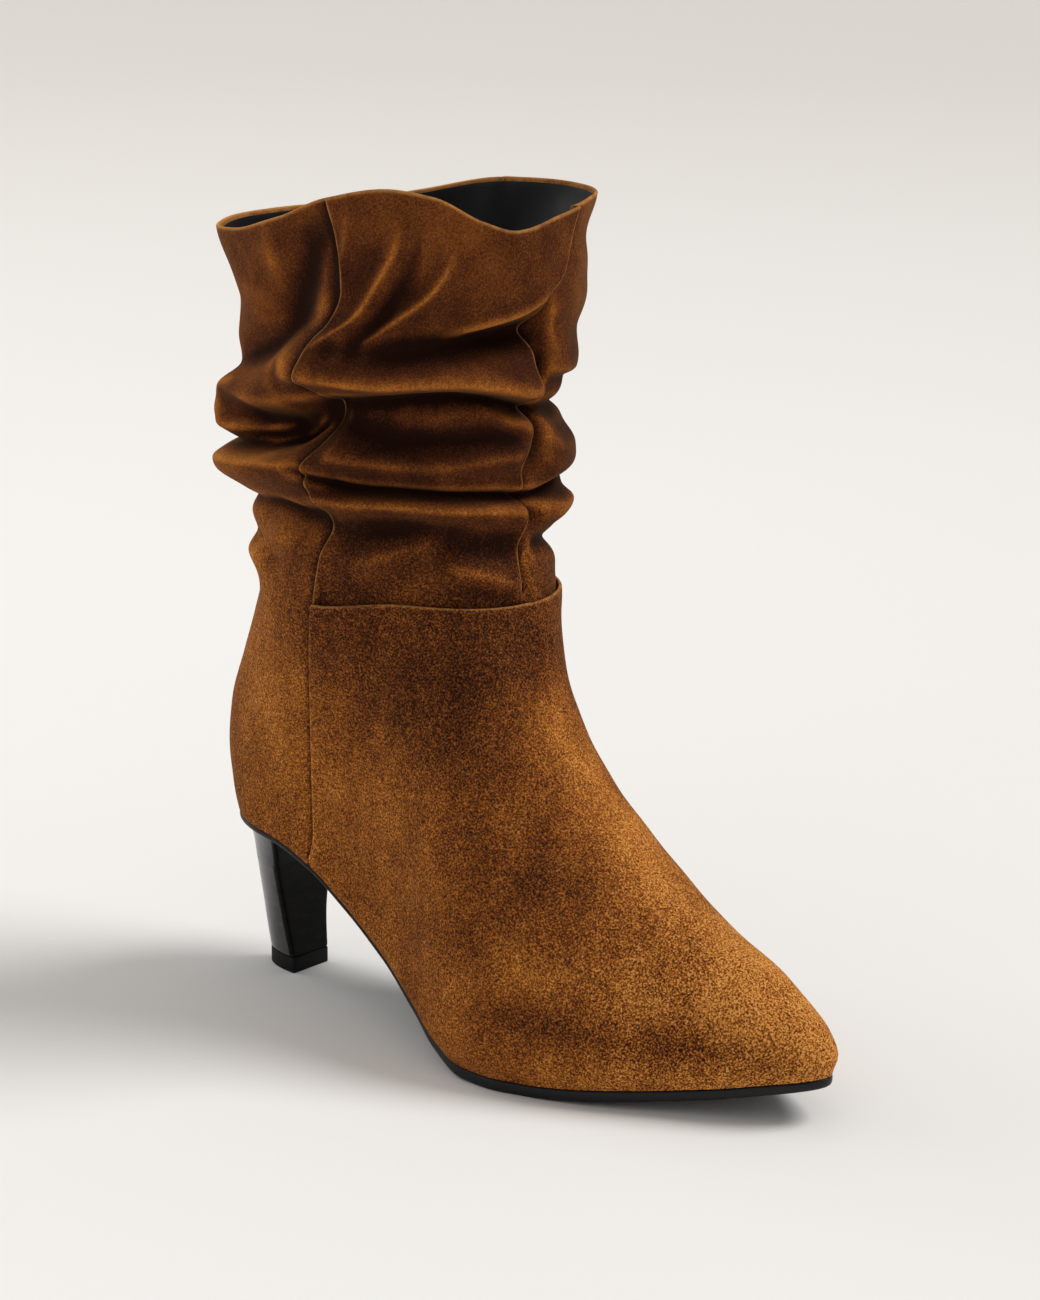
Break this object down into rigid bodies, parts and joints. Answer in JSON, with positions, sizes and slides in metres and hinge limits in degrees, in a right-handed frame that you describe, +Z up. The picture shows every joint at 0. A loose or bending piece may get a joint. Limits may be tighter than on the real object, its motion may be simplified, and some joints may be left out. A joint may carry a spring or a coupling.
{
  "type": "slouch boot",
  "caption": "Pointed suede ankle boot with a slack, folded shaft, a thin black outsole and a slim heel.",
  "frame": {"origin": "on the floor, midway between the boot's back and its toe tip and midway between its two sides", "axes": "+X towards the toe, +Y towards the inner side of this right boot, +Z up"},
  "size_m": [0.2468, 0.1028, 0.2787],
  "materials": {
    "suede": "brushed suede nap",
    "sole": "satin black",
    "heel_gloss": "gloss black",
    "tip_rubber": "matte black",
    "lining": "smooth black leather"
  },
  "bodies": {
    "root": {"upper": "suede", "outsole": "sole", "heel": "heel_gloss", "heel_tip": "tip_rubber", "insole": "lining"}
  },
  "joints": []
}
